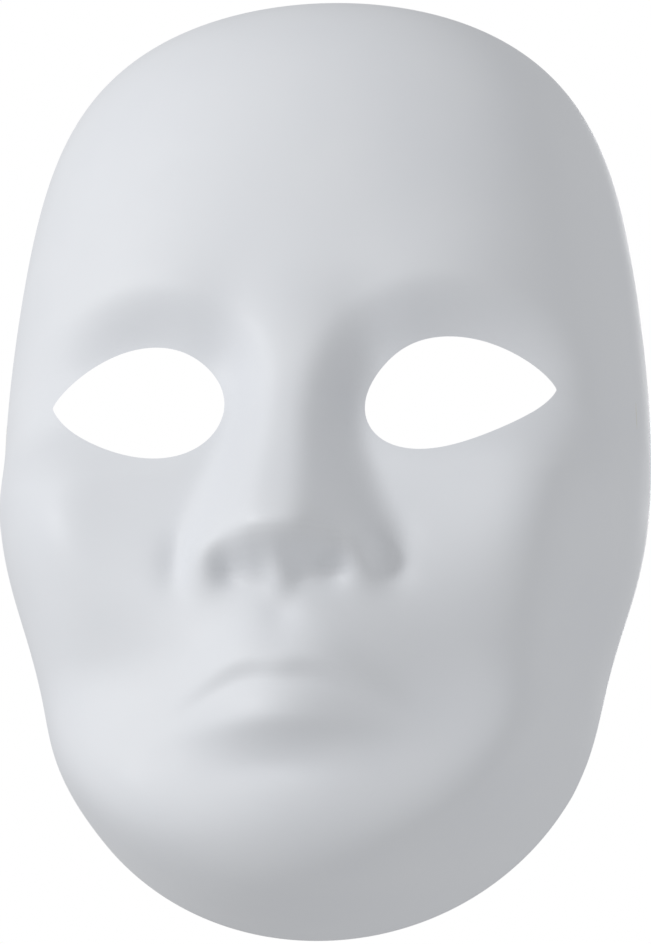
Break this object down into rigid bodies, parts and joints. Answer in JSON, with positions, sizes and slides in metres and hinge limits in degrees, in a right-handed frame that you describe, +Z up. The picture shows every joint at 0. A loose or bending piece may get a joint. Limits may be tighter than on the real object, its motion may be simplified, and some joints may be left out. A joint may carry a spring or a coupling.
{
  "type": "full-face masquerade mask",
  "caption": "Blank white full-face mask shell with almond eye holes and closed lips, worn with a swinging elastic head strap and slider.",
  "frame": {"origin": "in the plane of the mask's flat rim, midway between the two strap pivots, at eye level", "axes": "+Z up as worn, -Y the way the face looks, +X towards the wearer's left side"},
  "size_m": [0.168, 0.0899, 0.248],
  "materials": {
    "shell": "smooth matt white moulded plastic",
    "anchor": "moulded natural nylon",
    "cap": "nickel-plated push cap",
    "fitting": "satin moulded acetal",
    "elastic": "woven white elastic webbing",
    "thread": "polyester bar-tack stitching",
    "foam": "light grey closed-cell foam with a knitted face"
  },
  "bodies": {
    "mask": {"mask_shell": "shell", "left_strap_anchor": "anchor", "right_strap_anchor": "anchor", "left_anchor_cap": "cap", "right_anchor_cap": "cap", "forehead_pad": "foam", "left_cheek_pad": "foam", "right_cheek_pad": "foam"},
    "strap": {"head_strap": "elastic", "left_strap_tab": "fitting", "right_strap_tab": "fitting", "left_bar_tack": "thread", "right_bar_tack": "thread"},
    "slider": {"strap_slider": "fitting"}
  },
  "joints": [
    {"name": "strap_swing", "type": "hinge", "parent": "mask", "child": "strap", "pos_m": [0, -0.01, 0], "axis": [1, 0, 0], "range_deg": [-10, 140]},
    {"name": "slider_travel", "type": "slide", "parent": "strap", "child": "slider", "axis": [-0.454, 0, -0.891], "range_m": [-0.014, 0.014]}
  ]
}
